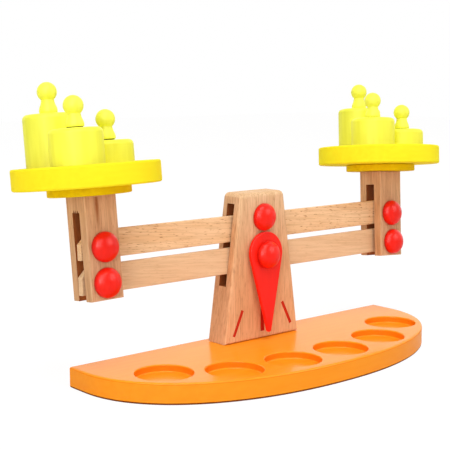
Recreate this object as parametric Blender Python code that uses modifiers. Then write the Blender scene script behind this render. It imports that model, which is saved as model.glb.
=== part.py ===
"""A wooden balance scale: a post on a base plate, two beams, two trays, six weights and a pointer.

Metres. X runs along the beams, -Y faces the viewer and +Z is up. The origin is on the table,
under the middle of the post. Both beams pass through a mortise in the post and end in forked
uprights, each of which carries a round tray. The loose joints let the swinging group lean back.
"""

import math

import bmesh
import bpy
from mathutils import Matrix, Vector

MM = 0.001

# Base plate, with round recesses that store the weights
base_width = 330 * MM
base_depth = 120.5 * MM
base_thickness = 16 * MM
base_front_power = 2.2
base_edge_radius = 1.6 * MM
post_setback = 17.4 * MM
recess_radius = 21.6 * MM
recess_depth = 5.7 * MM
recess_places = ((25.7 * MM, 90.6 * MM), (77.3 * MM, 83.2 * MM), (121.9 * MM, 57.5 * MM))

# Pivots. The linkage rests tipped a little, with its left end up
upper_pivot_height = 115 * MM
pivot_spacing = 31 * MM
end_pivot_drop = 10.1 * MM
end_spacing_loss = 5.6 * MM
rest_tip = math.radians(0.25)
dowel_radius = 4 * MM
dowel_in_cap = 4.5 * MM
swing_play = 0.7 * MM
open_pivot_play = 1.1 * MM
pointer_dowel_play = 1.4 * MM
cap_radius = 11 * MM
cap_height = 8.2 * MM
cap_rim = 1.2 * MM

# Post
post_over_mortise = 8.4 * MM
post_bottom_width = 79.2 * MM
post_top_width = 46.4 * MM
post_depth = 22 * MM
post_corner_radius = 4.5 * MM
post_edge_radius = 2.2 * MM
mortise_width = 8.4 * MM
mortise_over_pivot = 11.5 * MM
mortise_under_pivot = 22.6 * MM

# Beams
beam_past_pins = 13.4 * MM
beam_height = 20.5 * MM
beam_thickness = 5.3 * MM
beam_edge_radius = 0.7 * MM
beam_lean = math.radians(3.8)
upper_beam_shift = 0.3 * MM
lower_beam_shift = -0.5 * MM
upper_pivot_rise = 8.6 * MM
lower_pivot_rise = 2.7 * MM
upper_beam_clip = 9.2 * MM
lower_beam_clip = 7.6 * MM
hump_wall = 2.7 * MM

# Uprights, which lean back and tip sideways a little, as their play lets them
upright_width = 27.2 * MM
upright_depth = 24.4 * MM
upright_top = 36.9 * MM
upright_under_pivots = 12.5 * MM
upright_edge_radius = 1.4 * MM
upright_lean = math.radians(5.7)
slot_width = 9.2 * MM
slot_top = 25.3 * MM

# Trays
disc_radius = 30.3 * MM
disc_thickness = 6 * MM
disc_edge_radius = 0.9 * MM
tray_offset = -1.9 * MM
tray_radius = 53.4 * MM
tray_height = 15.8 * MM
tray_floor = 6 * MM
tray_rim = 5 * MM
tray_edge_radius = 1.5 * MM
peg_radius = 4 * MM
peg_in_tray = 3 * MM
peg_in_upright = 8 * MM

# Weights
weight_radius = 19 * MM
weight_top_radius = 2.6 * MM
weight_foot_radius = 1 * MM
ball_radius = 7.2 * MM
ball_height = 15.4 * MM
neck_radius = 4.7 * MM
neck_height = 7.2 * MM
knob_foot_radius = 6.6 * MM
knob_foot_height = 3.4 * MM
knob_edge_radius = 0.9 * MM
knob_tenon_radius = 3 * MM
knob_tenon_depth = 10 * MM

# What differs from side to side: how far each upright hangs out and tips, where its disc sits,
# and the place and height of each weight
sides = {
    "left": {
        "sign": -1,
        "reach": 152 * MM,
        "offset": -0.1 * MM,
        "tilt": math.radians(0.6),
        "disc_offset": -0.6 * MM,
        "weights": {
            "tall": (-17.4 * MM, 18.8 * MM, 47.3 * MM),
            "medium": (-21 * MM, -20 * MM, 34.9 * MM),
            "small": (18.4 * MM, 0.9 * MM, 25.6 * MM),
        },
    },
    "right": {
        "sign": 1,
        "reach": 153.2 * MM,
        "offset": 0.8 * MM,
        "tilt": math.radians(-3.6),
        "disc_offset": 0.3 * MM,
        "weights": {
            "tall": (3.8 * MM, 27.9 * MM, 45.6 * MM),
            "medium": (-14.9 * MM, -5.6 * MM, 34.3 * MM),
            "small": (26.1 * MM, -3.6 * MM, 25.6 * MM),
        },
    },
}

# Pointer, a flat drop that hangs on the lower pivot
pointer_thickness = 3.2 * MM
pointer_head_radius = 17.1 * MM
pointer_under_cap = 0.4 * MM
pointer_tip_radius = 2 * MM
pointer_over_base = 5.6 * MM
pointer_edge_radius = 0.8 * MM
pointer_gap = 12.5 * MM
rear_reach = 12.3 * MM

# Screws that hold the post on the base plate
screw_spacing = 44 * MM
screw_radius = 2 * MM
screw_length = 34 * MM
screw_head_radius = 4 * MM
screw_head_height = 2.6 * MM
screw_sink = 0.6 * MM

# Gap kept between neighbouring pieces, and how far a cutter runs past what it cuts
gap = 0.3 * MM
overrun = 2 * MM

# Facets round a full turn, and steps along an arc
dowel_facets = 16
cap_facets = 18
dome_steps = 4
knob_facets = 14
ball_steps = 7
weight_facets = 24
tray_facets = 48
disc_facets = 32
recess_facets = 36
front_steps = 36
rounding_steps = 2
hump_steps = 8
drop_steps = 16
tip_steps = 4

# Worked out from the dimensions above
lower_pivot_height = upper_pivot_height - pivot_spacing
upper_beam_height = upper_pivot_height - upper_pivot_rise
lower_beam_height = lower_pivot_height - lower_pivot_rise
end_pivot_height = upper_pivot_height - end_pivot_drop
end_pivot_spacing = pivot_spacing - end_spacing_loss
beam_length = sides["left"]["reach"] + sides["right"]["reach"] + 2 * beam_past_pins
mortise_top = upper_pivot_height + mortise_over_pivot
mortise_bottom = lower_pivot_height - mortise_under_pivot
post_foot = base_thickness + gap
post_height = mortise_top + post_over_mortise - post_foot
upright_bottom = end_pivot_spacing + upright_under_pivots
pointer_lift = (pointer_gap + pointer_thickness) * math.sin(beam_lean)
pointer_head_top = pivot_spacing - cap_radius - pointer_under_cap - pointer_lift
pointer_head_rise = pointer_head_top - pointer_head_radius
pointer_tip_drop = lower_pivot_height - base_thickness - pointer_over_base - pointer_tip_radius

flat_front = math.radians(90)
smooth_angle = math.radians(35)
bevel_angle = math.radians(40)
WOOD = ("beech", "#DFAE80", 0.55)
BEAM_WOOD = ("flecked_beech", "#E4B184", 0.55)
ORANGE = ("orange_lacquer", "#F8892B", 0.35)
RED = ("red_paint", "#F0261C", 0.3)
YELLOW = ("yellow_stain", "#FBF23A", 0.45)
TRAY_YELLOW = ("tray_yellow", "#FCE41F", 0.4)
DISC_YELLOW = ("disc_yellow", "#E5B70A", 0.4)
STEEL = ("zinc_steel", "#B9BCC0", 0.35)


def clear_scene():
    for item in list(bpy.data.objects):
        bpy.data.objects.remove(item)


def new_collection(name):
    collection = bpy.data.collections.new(name)
    bpy.context.scene.collection.children.link(collection)
    return collection


def linear(channel):
    """One sRGB channel, 0 to 1, as linear light."""
    return channel / 12.92 if channel <= 0.04045 else ((channel + 0.055) / 1.055) ** 2.4


def material_for(name, finish):
    """Each piece has its own material, with the finish it shares with its like."""
    label, colour, roughness = finish
    material = bpy.data.materials.new(name + "_" + label)
    material.use_nodes = True
    shader = material.node_tree.nodes["Principled BSDF"]
    channels = [linear(int(colour[i : i + 2], 16) / 255) for i in (1, 3, 5)]
    shader.inputs["Base Color"].default_value = (*channels, 1)
    shader.inputs["Roughness"].default_value = roughness
    shader.inputs["Metallic"].default_value = 1.0 if finish is STEEL else 0.0
    return material


def add_piece(name, mesh, finish, parent=None, place=(0, 0, 0), turn=(0, 0, 0)):
    piece = bpy.data.objects.new(name, mesh)
    parts.objects.link(piece)
    mesh.materials.clear()
    mesh.materials.append(material_for(name, finish))
    piece.parent = parent
    piece.location = place
    piece.rotation_euler = turn
    return piece


def add_frame(name, place, turn=(0, 0, 0), parent=None):
    """An empty on a pivot, which carries the pieces that turn about it."""
    frame = bpy.data.objects.new(name, None)
    frame.empty_display_size = dowel_radius
    parts.objects.link(frame)
    frame.parent = parent
    frame.location = place
    frame.rotation_euler = turn
    return frame


def smooth(mesh):
    mesh.shade_smooth()
    mesh.set_sharp_from_angle(angle=smooth_angle)


def arc(centre, radius, start, end, steps):
    """Points of an arc, from angle start to angle end."""
    points = []
    for i in range(steps + 1):
        angle = start + (end - start) * i / steps
        points.append((centre[0] + radius * math.cos(angle), centre[1] + radius * math.sin(angle)))
    return points


def sawn_mesh(name, outline, thickness):
    """A flat board: the outline in local XY, with half of the thickness on each side of it."""
    curve = bpy.data.curves.new(name, "CURVE")
    curve.dimensions = "2D"
    curve.fill_mode = "BOTH"
    curve.extrude = thickness / 2
    spline = curve.splines.new("POLY")
    spline.points.add(len(outline) - 1)
    for point, (across, along) in zip(spline.points, outline):
        point.co = (across, along, 0, 1)
    spline.use_cyclic_u = True
    drawing = bpy.data.objects.new(name + "_outline", curve)
    parts.objects.link(drawing)
    graph = bpy.context.evaluated_depsgraph_get()
    mesh = bpy.data.meshes.new_from_object(drawing.evaluated_get(graph))
    bpy.data.objects.remove(drawing)
    mesh.name = name
    board = bmesh.new()
    board.from_mesh(mesh)
    bmesh.ops.remove_doubles(board, verts=board.verts, dist=gap / 100)
    bmesh.ops.recalc_face_normals(board, faces=board.faces)
    board.to_mesh(mesh)
    board.free()
    return mesh


def turned_piece(name, profile, facets, finish, parent=None, place=(0, 0, 0), turn=(0, 0, 0)):
    """A piece turned about its local Z. Its profile starts at the top and runs down the outside."""
    mesh = bpy.data.meshes.new(name)
    edges = [(i, i + 1) for i in range(len(profile) - 1)]
    mesh.from_pydata([(radius, 0, height) for radius, height in profile], edges, [])
    piece = add_piece(name, mesh, finish, parent, place, turn)
    lathe = piece.modifiers.new("Lathe", "SCREW")
    lathe.axis = "Z"
    lathe.steps = facets
    lathe.render_steps = facets
    lathe.use_merge_vertices = True
    lathe.merge_threshold = gap / 100
    lathe.use_smooth_shade = True
    return piece


def round_edges(piece, radius, steps=rounding_steps):
    bevel = piece.modifiers.new("Rounded edges", "BEVEL")
    bevel.width = radius
    bevel.segments = steps
    bevel.limit_method = "ANGLE"
    bevel.angle_limit = bevel_angle


def add_cutter(name, parent, place, turn):
    cutter = bpy.context.object
    cutter.name = name
    for collection in list(cutter.users_collection):
        collection.objects.unlink(cutter)
    cutters.objects.link(cutter)
    cutter.parent = parent
    cutter.location = place
    cutter.rotation_euler = turn
    cutter.hide_render = True
    cutter.display_type = "WIRE"
    return cutter


def cut(piece, cutter):
    boolean = piece.modifiers.new("Cut " + cutter.name, "BOOLEAN")
    boolean.operation = "DIFFERENCE"
    boolean.solver = "EXACT"
    boolean.object = cutter


def bore(pieces, name, radius, length, parent=None, place=(0, 0, 0), turn=(0, 0, 0), facets=dowel_facets):
    """Drills a round hole of this length, centred on place, through the pieces."""
    bpy.ops.mesh.primitive_cylinder_add(vertices=facets, radius=radius, depth=length)
    cutter = add_cutter(name, parent, place, turn)
    for piece in pieces:
        cut(piece, cutter)


def slot(piece, name, size, parent=None, place=(0, 0, 0), turn=(0, 0, 0)):
    """Cuts a rectangular hole of this size, centred on place."""
    bpy.ops.mesh.primitive_cube_add(size=1)
    bpy.context.object.data.transform(scaling(size))
    cut(piece, add_cutter(name, parent, place, turn))


def scaling(size):
    """The matrix that makes a unit cube this size, so that the object keeps a scale of 1."""
    return Matrix.Diagonal(Vector((*size, 1)))


def dome_profile():
    """A cap: a domed head over a short rim, with a blind hole for the dowel in its flat side."""
    hole = dowel_radius + gap
    dome = [
        (cap_radius * math.sin(step), cap_rim + (cap_height - cap_rim) * math.cos(step))
        for step in (math.radians(90) * i / dome_steps for i in range(dome_steps + 1))
    ]
    return dome + [(cap_radius, 0), (hole, 0), (hole, dowel_in_cap + gap), (0, dowel_in_cap + gap)]


def dowel(name, finish, length, parent, place):
    bpy.ops.mesh.primitive_cylinder_add(vertices=dowel_facets, radius=dowel_radius, depth=length)
    rod = bpy.context.object
    mesh = rod.data
    bpy.data.objects.remove(rod)
    smooth(mesh)
    mesh.name = name
    return add_piece(name, mesh, finish, parent, place, (flat_front, 0, 0))


def capped_dowel(name, parent, place, front, back):
    """A dowel along local Y that ends in a cap at distance front before, and back behind, its place."""
    length = front + back + 2 * dowel_in_cap
    middle = Vector(place) + Vector((0, (back - front) / 2, 0))
    dowel(name + "_dowel", WOOD, length, parent, middle)
    sides = (("front", -front - gap, flat_front), ("rear", back + gap, -flat_front))
    for side, reach, turn in sides:
        spot = Vector(place) + Vector((0, reach, 0))
        turned_piece(
            f"{name}_{side}_cap", dome_profile(), cap_facets, RED, parent, spot, (turn, 0, 0)
        )


def base_outline():
    """Straight back, short straight sides, and a front that bows out like a flattened ellipse."""
    half = base_width / 2
    reach = base_depth - post_setback
    power = 2 / base_front_power
    front = []
    for i in range(front_steps + 1):
        angle = math.pi * i / front_steps
        across = math.copysign(half * abs(math.cos(angle)) ** power, -math.cos(angle))
        front.append((across, -reach * math.sin(angle) ** power))
    return [(half, post_setback), (-half, post_setback)] + front


def make_base():
    """The plate lies on the table, with its straight edge behind the post."""
    lift = (0, 0, base_thickness / 2)
    board = sawn_mesh("base_plate", base_outline(), base_thickness)
    plate = add_piece("base_plate", board, ORANGE, None, lift)
    round_edges(plate, base_edge_radius)
    depth = recess_depth + overrun
    middle = base_thickness - recess_depth + depth / 2
    for number, (across, from_back) in enumerate(recess_places, 1):
        for side, sign in (("left", -1), ("right", 1)):
            place = (sign * across, post_setback - from_back, middle)
            bore([plate], f"recess_{side}_{number}", recess_radius, depth, None, place, facets=recess_facets)
    smooth(plate.data)
    return plate


def post_outline():
    """A tapered board with rounded top corners, drawn about the foot of the post."""
    foot = post_bottom_width / 2
    head = post_top_width / 2
    slope = math.atan2(foot - head, post_height)
    inset = post_corner_radius * (1 - math.sin(slope)) / math.cos(slope)
    centre = (head - inset, post_height - post_corner_radius)
    right = arc(centre, post_corner_radius, slope, math.radians(90), rounding_steps)
    left = [(-x, z) for x, z in reversed(right)]
    return [(-foot, 0), (foot, 0)] + right + left


def make_post(plate):
    """The post stands on the plate; both beams pass through its tall mortise."""
    turn = (flat_front, 0, 0)
    board = sawn_mesh("post", post_outline(), post_depth)
    post = add_piece("post", board, WOOD, None, (0, 0, post_foot), turn)
    round_edges(post, post_edge_radius)
    height = mortise_top - mortise_bottom
    size = (post_bottom_width + overrun, mortise_width, height)
    slot(post, "mortise", size, None, (0, 0, mortise_bottom + height / 2))
    through = post_depth + overrun
    bore([post], "upper_pivot_hole", dowel_radius + gap, through, None, (0, 0, upper_pivot_height), turn)
    loose = dowel_radius + pointer_dowel_play
    bore([post], "lower_pivot_hole", loose, through, None, (0, 0, lower_pivot_height), turn)
    capped_dowel("upper_centre", None, (0, 0, upper_pivot_height), post_depth / 2, post_depth / 2)
    head_top = screw_sink + screw_head_height
    profile = [
        (0, screw_sink + screw_length),
        (screw_radius / 2, screw_sink + screw_length),
        (screw_radius, screw_sink + screw_length - screw_radius),
        (screw_radius, head_top),
        (screw_head_radius, screw_sink),
        (0, screw_sink),
    ]
    for side, sign in (("left", -1), ("right", 1)):
        spot = (sign * screw_spacing / 2, 0, 0)
        turned_piece(f"base_screw_{side}", profile, dowel_facets, STEEL, None, spot)
        middle = (spot[0], 0, (screw_length + overrun) / 2)
        length = screw_length + 2 * overrun
        bore([plate, post], f"screw_hole_{side}", screw_radius + gap, length, None, middle)
        sink_screw_head(plate, side, spot)
    return post


def sink_screw_head(plate, side, spot):
    """A conical sink in the underside, a gap wider than the screw's head all round."""
    wide = screw_head_radius + gap + screw_head_radius / screw_head_height * screw_sink / 2
    depth = screw_sink + screw_head_height + gap
    bpy.ops.mesh.primitive_cone_add(
        vertices=dowel_facets, radius1=wide + overrun, radius2=screw_radius + gap, depth=depth + overrun
    )
    cut(plate, add_cutter(f"screw_sink_{side}", None, (spot[0], spot[1], (depth - overrun) / 2), (0, 0, 0)))


def beam_outline(centre_drop, clip, hump):
    """A straight beam about its pivot, with its upper outer corners clipped."""
    end = beam_length / 2
    top = beam_height / 2 - centre_drop
    bottom = -beam_height / 2 - centre_drop
    outline = [(-end, bottom), (end, bottom), (end, top - clip), (end - clip, top)]
    if hump:
        radius = dowel_radius + swing_play + hump_wall
        start = math.asin(top / radius)
        outline += arc((0, 0), radius, start, math.pi - start, hump_steps)
    return outline + [(clip - end, top), (-end, top - clip)]


def make_beam(name, pivot, centre_drop, clip, hump, centre_play, end_play, end_drop):
    """A beam that swings about its pivot, with a hole there and one near each end."""
    board = sawn_mesh(name, beam_outline(centre_drop, clip, hump), beam_thickness)
    beam = add_piece(name, board, BEAM_WOOD, pivot, (0, 0, 0), (flat_front, 0, 0))
    round_edges(beam, beam_edge_radius)
    through = beam_thickness + 2 * overrun
    turn = (flat_front, 0, 0)
    bore([beam], name + "_centre_hole", dowel_radius + centre_play, through, pivot, (0, 0, 0), turn)
    for side, own in sides.items():
        place = (own["sign"] * own["reach"], 0, -end_drop)
        bore([beam], f"{name}_{side}_hole", dowel_radius + end_play, through, pivot, place, turn)
    return beam


def make_beams():
    """The upper beam hangs on a fixed dowel; the lower beam carries its dowel and the pointer."""
    turn = (-beam_lean, rest_tip, 0)
    upper_y = upper_beam_shift + upper_pivot_rise * math.tan(beam_lean)
    lower_y = lower_beam_shift + lower_pivot_rise * math.tan(beam_lean)
    upper = add_frame("upper_pivot", (0, upper_y, upper_pivot_height), turn)
    lower = add_frame("lower_pivot", (0, lower_y, lower_pivot_height), turn)
    make_beam(
        "upper_beam",
        upper,
        upper_pivot_rise,
        upper_beam_clip,
        True,
        swing_play,
        swing_play,
        end_pivot_drop,
    )
    make_beam(
        "lower_beam",
        lower,
        lower_pivot_rise,
        lower_beam_clip,
        False,
        gap,
        open_pivot_play,
        lower_pivot_height - end_pivot_height + end_pivot_spacing,
    )
    make_pointer(lower)


def pointer_outline():
    """A drop: a round head and a small round tip, joined by straight sides."""
    length = pointer_head_rise + pointer_tip_drop
    slope = math.asin((pointer_head_radius - pointer_tip_radius) / length)
    tip = (0, -pointer_tip_drop)
    head = (0, pointer_head_rise)
    round_head = arc(head, pointer_head_radius, -slope, math.pi + slope, drop_steps)
    round_tip = arc(tip, pointer_tip_radius, math.pi + slope, 2 * math.pi - slope, tip_steps)
    return round_head + round_tip


def make_pointer(pivot):
    """The pointer sits on the lower dowel, between the post and the front cap."""
    place = (0, -pointer_gap - pointer_thickness / 2, 0)
    board = sawn_mesh("pointer", pointer_outline(), pointer_thickness)
    pointer = add_piece("pointer", board, RED, pivot, place, (flat_front, 0, 0))
    round_edges(pointer, pointer_edge_radius)
    length = pointer_thickness + 2 * overrun
    bore([pointer], "pointer_hole", dowel_radius + gap, length, pivot, place, (flat_front, 0, 0))
    front = pointer_gap + pointer_thickness
    capped_dowel("lower_centre", pivot, (0, 0, 0), front, rear_reach)


def tipped(across, up):
    """A spot beside the upper pivot, turned with the beams about the pivot's axis."""
    turned = math.cos(rest_tip) * across + math.sin(rest_tip) * up
    return turned, math.cos(rest_tip) * up - math.sin(rest_tip) * across


def disc_profile():
    """A low disc."""
    inner = disc_radius - disc_edge_radius
    top = disc_thickness - gap
    return [
        (0, top),
        (inner, top),
        (disc_radius, top - disc_edge_radius),
        (disc_radius, disc_edge_radius),
        (inner, 0),
        (0, 0),
    ]


def rounded(corner_radius, corner_height, radius, start, end):
    """The points of a small rounded edge on a turned profile."""
    centre = (corner_radius, corner_height)
    return arc(centre, radius, math.radians(start), math.radians(end), rounding_steps)


def tray_profile():
    """A tray with a raised rim."""
    edge = tray_edge_radius
    inside = tray_radius - tray_rim
    wall_top = tray_height - edge
    profile = [(0, tray_floor), (inside, tray_floor)]
    profile += rounded(inside + edge, wall_top, edge, 180, 90)
    profile += rounded(tray_radius - edge, wall_top, edge, 90, 0)
    return profile + [(tray_radius, edge), (tray_radius - edge, 0), (0, 0)]


def weight_profile(height):
    """A cylinder with a well rounded top edge, and a blind hole for the knob's tenon."""
    hole = knob_tenon_radius + gap
    bottom = height - knob_tenon_depth - gap
    profile = [(0, bottom), (hole, bottom), (hole, height)]
    shoulder = weight_top_radius
    profile += rounded(weight_radius - shoulder, height - shoulder, shoulder, 90, 0)
    foot = weight_foot_radius
    return profile + [(weight_radius, foot), (weight_radius - foot, 0), (0, 0)]


def knob_profile():
    """A turned knob: a ball on a waisted neck that flares to a foot, and a tenon under it."""
    below = math.asin(neck_radius / ball_radius)
    turned = (math.pi - below) / ball_steps
    ball = [
        (ball_radius * math.sin(turned * i), ball_height + ball_radius * math.cos(turned * i))
        for i in range(ball_steps + 1)
    ]
    edge = knob_edge_radius
    foot = [
        (neck_radius, neck_height),
        (knob_foot_radius, knob_foot_height),
        (knob_foot_radius, gap + edge),
        (knob_foot_radius - edge, gap),
        (knob_tenon_radius, gap),
        (knob_tenon_radius, -knob_tenon_depth),
        (0, -knob_tenon_depth),
    ]
    return ball + foot


def make_upright(side, own):
    """One forked upright with its two capped dowels, its disc and tray, and the weights on it."""
    across, up = tipped(own["sign"] * own["reach"], -end_pivot_drop)
    height = upper_pivot_height + up
    middle_height = (upper_beam_height + lower_beam_height) / 2
    pin_y = (height - middle_height) * math.tan(upright_lean)
    pins = add_frame(side + "_pivot", (across, pin_y, height), (-upright_lean, 0, 0))
    body_place = (own["sign"] * own["offset"], 0, 0)
    body = add_frame(side + "_fork", body_place, (0, -own["tilt"], 0), pins)
    height = upright_top + upright_bottom
    bpy.ops.mesh.primitive_cube_add(size=1)
    block = bpy.context.object
    mesh = block.data
    bpy.data.objects.remove(block)
    mesh.transform(scaling((upright_width, upright_depth, height)))
    middle = (0, 0, (upright_top - upright_bottom) / 2)
    upright = add_piece(side + "_upright", mesh, WOOD, body, middle)
    round_edges(upright, upright_edge_radius)
    opening = slot_top + upright_bottom + overrun
    size = (upright_width + 2 * overrun, slot_width, opening)
    slot(upright, side + "_slot", size, body, (0, 0, slot_top - opening / 2))
    depth = upright_depth / 2
    lower_drop = end_pivot_spacing / math.cos(upright_lean)
    for level, drop in (("upper", 0), ("lower", lower_drop)):
        name = f"{side}_{level}"
        turn = (flat_front, 0, 0)
        place = (0, 0, -drop)
        bore([upright], name + "_hole", dowel_radius + gap, upright_depth + overrun, pins, place, turn)
        capped_dowel(name, pins, place, depth, depth)
    peg_length = peg_in_upright + disc_thickness + peg_in_tray - 2 * gap
    peg_middle = upright_top - peg_in_upright + gap + peg_length / 2
    end = peg_length / 2
    profile = [(0, end), (peg_radius, end), (peg_radius, -end), (0, -end)]
    turned_piece(side + "_tray_peg", profile, dowel_facets, WOOD, body, (0, 0, peg_middle))
    disc_place = (own["disc_offset"], 0, upright_top + gap)
    disc = turned_piece(side + "_tray_disc", disc_profile(), disc_facets, DISC_YELLOW, body, disc_place)
    tray_bottom = upright_top + disc_thickness + gap
    tray_place = (tray_offset, 0, tray_bottom)
    tray = turned_piece(side + "_tray", tray_profile(), tray_facets, TRAY_YELLOW, body, tray_place)
    hole_bottom = upright_top - peg_in_upright
    hole_length = tray_bottom + peg_in_tray - hole_bottom
    hole = (0, 0, hole_bottom + hole_length / 2)
    bore([upright, disc, tray], side + "_peg_hole", peg_radius + gap, hole_length, body, hole)
    for size_name, (across, along, height) in own["weights"].items():
        spot = (across, along, tray_bottom + tray_floor + gap)
        make_weight(f"{side}_{size_name}_weight", height, body, spot)


def make_weight(name, height, body, spot):
    """A weight is a turned cylinder and a separate knob, glued in by its tenon."""
    turned_piece(name, weight_profile(height), weight_facets, YELLOW, body, spot)
    top = (spot[0], spot[1], spot[2] + height)
    turned_piece(name + "_knob", knob_profile(), knob_facets, YELLOW, body, top)


clear_scene()
parts = new_collection("balance_scale")
cutters = new_collection("cutters")
plate = make_base()
make_post(plate)
make_beams()
for side, own in sides.items():
    make_upright(side, own)
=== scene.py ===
"""The looks of a wooden toy balance scale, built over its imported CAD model.

Every piece is drawn in millimetres in the frame of the body that carries it, and then put
in its place. X runs along the beams, -Y faces the viewer and +Z is up.
"""

import math

import bmesh
import bpy
from mathutils import Euler, Matrix, Vector


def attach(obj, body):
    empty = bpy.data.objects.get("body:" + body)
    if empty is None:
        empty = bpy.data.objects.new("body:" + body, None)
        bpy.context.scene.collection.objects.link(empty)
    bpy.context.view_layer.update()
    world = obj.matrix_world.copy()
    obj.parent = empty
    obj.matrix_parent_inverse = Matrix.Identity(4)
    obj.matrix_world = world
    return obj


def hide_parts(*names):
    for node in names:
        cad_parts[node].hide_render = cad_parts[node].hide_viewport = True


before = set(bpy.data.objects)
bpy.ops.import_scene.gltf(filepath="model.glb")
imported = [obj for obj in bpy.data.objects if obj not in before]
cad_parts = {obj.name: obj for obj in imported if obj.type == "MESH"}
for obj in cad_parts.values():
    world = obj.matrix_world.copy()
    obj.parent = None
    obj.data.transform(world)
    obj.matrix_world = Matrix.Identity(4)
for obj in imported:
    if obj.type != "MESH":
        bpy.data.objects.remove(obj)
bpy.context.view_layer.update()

MM = 0.001
RIGHT_ANGLE = math.radians(90)
FULL_TURN = math.radians(360)
DEPTHWISE = (0, 1, 0)

# The numbers of a colour Mix node's sockets, as several of them share a name
MIX_FACTOR, MIX_FIRST, MIX_SECOND, MIX_RESULT = 0, 6, 7, 2

# Sizes in millimetres. The main ones are the CAD model's own
base_width, base_depth, base_thickness = 330, 120.5, 16
base_front_power, base_ease, foot_shadow_height = 2.2, 1.6, 1.5
post_setback = 17.4
recess_radius, recess_depth, recess_ease, recess_cove = 21.6, 5.7, 0.8, 0.9
recess_places = ((25.7, 90.6), (77.3, 83.2), (121.9, 57.5))
upper_pivot_height, pivot_spacing, end_pivot_drop, end_pivot_spacing = 115, 31, 10.1, 25.4
lower_pivot_height = upper_pivot_height - pivot_spacing
rest_tip, beam_lean, upright_lean = math.radians(0.25), math.radians(3.8), math.radians(5.7)
dowel_radius, dowel_in_cap, dowel_ease = 4, 4.5, 0.4
swing_play, open_pivot_play, pointer_dowel_play = 0.7, 1.1, 1.4
cap_radius, cap_height, cap_rim, cap_ease = 11, 8.2, 1.2, 0.35
post_foot, post_top, post_depth = 16.3, 134.9, 22
post_bottom_width, post_top_width = 79.2, 46.4
post_corner, post_ease, post_ease_growth = 4.5, 2.2, 0.65
mortise_width, mortise_bottom, mortise_top = 8.4, 61.4, 126.5
grooves = (
    ((-30.8, 21.8), (-21.6, 41.9), 2.8, 0.4),
    ((31, 24.2), (21.3, 43.4), 2.8, 0.4),
    ((-0.3, 22.1), (-0.3, 44), 4.2, 1.6),
)
beam_length, beam_height, beam_thickness, beam_ease = 332, 20.5, 5.3, 0.7
upper_pivot_rise, lower_pivot_rise = 8.6, 2.7
upper_beam_shift, lower_beam_shift = 0.3, -0.5
upper_beam_clip, lower_beam_clip, hump_wall = 9.2, 7.6, 2.7
upright_width, upright_depth, upright_ease = 27.2, 24.4, 0.9
upright_top, upright_bottom = 36.9, 37.9
slot_width, slot_top, slot_end_reach = 9.2, 25.3, 4
disc_radius, disc_thickness, disc_ease = 30.3, 6, 0.9
tray_radius, tray_height, tray_floor, tray_rim, tray_offset = 53.4, 15.8, 6, 5, -1.9
tray_ease, tray_cove, tray_crest = 1.5, 1.2, 0.6
peg_radius, peg_in_tray, peg_in_upright = 4, 3, 8
weight_radius, weight_shoulder, weight_ease = 19, 3.6, 1
ball_radius, ball_height, neck_radius = 7.2, 15.4, 4.7
# Radius and height of the knob's neck and foot, from the ball down, and of the glued joint under it
knob_neck = ((4.9, 8), (5.3, 6.6), (6.1, 4.8), (6.5, 3.4), (6.6, 2.4), (6.6, 1.4))
knob_foot_radius, joint_radius, joint_height = 6.3, 5.7, 0.6
pointer_thickness, pointer_gap, pointer_ease, rear_reach = 3.2, 12.5, 0.9, 12.3
pointer_head_radius, pointer_head_rise = 17.1, 1.46
pointer_tip_radius, pointer_tip_drop = 2, 60.4
screw_spacing, screw_radius, screw_length, screw_head_radius = 44, 2, 34, 4
screw_head_height, screw_sink, screw_hole_depth = 2.6, 0.6, 15

# The narrow clearance between pieces that are fitted together
gap = 0.3

# How many steps a turned piece has round its axis, and the angle from which an edge looks sharp
pin_steps, knob_steps, cap_steps, disc_steps, tray_steps = 32, 48, 72, 96, 160
crease_angle = math.radians(38)

# Stains and woods, each as its light and its dark tone
# The tall weights stand behind the others, and their stain is a darker copy of the others': painted
# shade.
weight_yellow, shaded_tall_weight_yellow = ("#FDFC46", "#F6F43C"), ("#F4F34A", "#ECEB40")
knob_yellow = ("#FDFC54", "#F6F44A")
# The side tones of the post and the uprights are darker than their fronts': painted shade.
post_front, post_shaded_side = ("#F0C89D", "#E4B98C"), ("#E2B68D", "#D6A77C")
upper_beam_wood, lower_beam_wood = ("#F6CC9E", "#EFBF8D"), ("#EFC79C", "#E9BE92")
# The uprights' front tone is partly the wood's own and partly painted shade, a little darker for the
# trays above them.
upright_front, upright_shaded_side = ("#E4B287", "#D6A276"), ("#E0B084", "#D4A174")
# The uprights' rounded rims get a paler tone: a painted highlight.
upright_edge_highlight, dowel_wood = ("#EBBD93", "#DFAE82"), ("#E0B083", "#CF9A6C")
beam_grain_skew, spangle_size = math.radians(-5), 1.111

# Tinted spots in the wood: middle across and up, half width, half height, and colour. The upright's is a
# streak of the wood's own figure. The post's is painted shade, darker over the middle and lower part of
# its faces, so that the top reads lighter, as light from above falls
post_painted_shade_spot = (0, 58, 75, 76, "#FAE5D8")
upright_heart = (-3.5, 30, 2.4, 19, "#C8A288")
tint_spot_depth = 1000

# The camera's place in metres, its turn in degrees, and its lens
camera_place = (-0.57029, -0.63506, 0.22763)
camera_turn = (81.91, 0.05, -40.3)
lens_length, lens_shift = 85.55, (0.00278, 0.0026)

# How bright the white room is, as light on the object and in its glossy surfaces
room_light, front_mirrored, back_mirrored = 0.655, 0.25, 1.65
backdrop_way = (0.66, 0.74, 0.1)
# The share of the white floor that glows, as an overexposed floor does, and how brightly
paper_glow, paper_shine = 0.8, 1.12
floor_reach, floor_hole_inset = 4000, 1.2

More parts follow.
